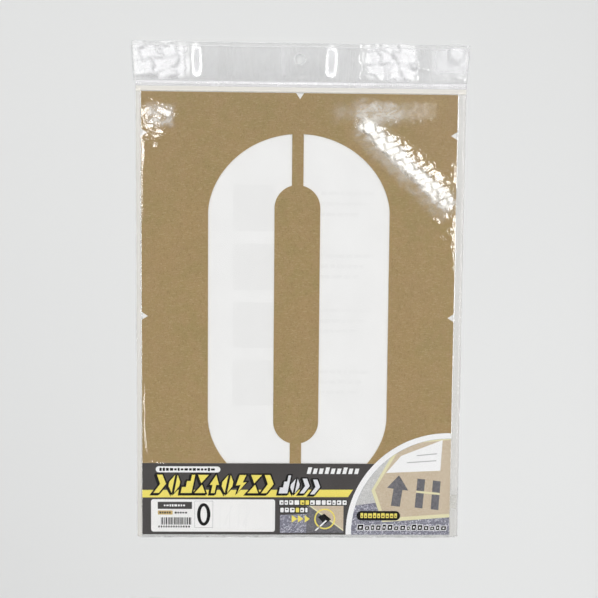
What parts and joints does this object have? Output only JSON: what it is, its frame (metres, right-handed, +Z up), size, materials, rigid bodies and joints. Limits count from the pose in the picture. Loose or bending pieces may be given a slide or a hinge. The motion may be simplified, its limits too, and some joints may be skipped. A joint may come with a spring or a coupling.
{
  "type": "lettering stencil",
  "caption": "Kraft board stencil with a tall cut figure and edge notches, in a clear header bag with backing sheet, label card and folding closing flap.",
  "frame": {"origin": "middle of the pack's footprint, on the surface it lies on", "axes": "+Y along the pack from the open mouth up to the hanging header, +X across the bag to the right seen from the front, +Z up out of the front film"},
  "size_m": [0.274, 0.407, 0.0023],
  "materials": {
    "kraft_board": "uncoated brown kraft board with fine fibres",
    "white_paper": "smooth white printing paper, line drawings on its back",
    "printed_card": "coated card printed charcoal, yellow and white",
    "sticker_paper": null,
    "clear_film": "clear glossy polypropylene film, slightly wrinkled",
    "header_film": "clear glossy double film, slightly greyer",
    "weld_bead": "fused glossy film edge",
    "adhesive": "clear tacky strip with a faint haze"
  },
  "bodies": {
    "bag": {"bag_front_film": "clear_film", "bag_back_film": "clear_film", "header_strip": "header_film", "side_weld_left": "weld_bead", "side_weld_right": "weld_bead"},
    "plate": {"stencil_plate": "kraft_board"},
    "label": {"label_card": "printed_card", "contents_sticker": "sticker_paper"},
    "backing": {"backing_sheet": "white_paper"},
    "flap": {"closing_flap": "clear_film", "flap_adhesive_strip": "adhesive", "flap_crease": "clear_film"}
  },
  "joints": [
    {"name": "plate_slide", "type": "slide", "parent": "bag", "child": "plate", "axis": [0, -1, 0], "range_m": [0, 0.384]},
    {"name": "label_slide", "type": "slide", "parent": "bag", "child": "label", "axis": [0, -1, 0], "range_m": [0, 0.095]},
    {"name": "backing_slide", "type": "slide", "parent": "bag", "child": "backing", "axis": [0, -1, 0], "range_m": [0, 0.384]},
    {"name": "flap_open", "type": "hinge", "parent": "bag", "child": "flap", "pos_m": [0, -0.20345, 0.00115], "axis": [-1, 0, 0], "range_deg": [0, 180], "deforming": ["flap_crease"]}
  ]
}
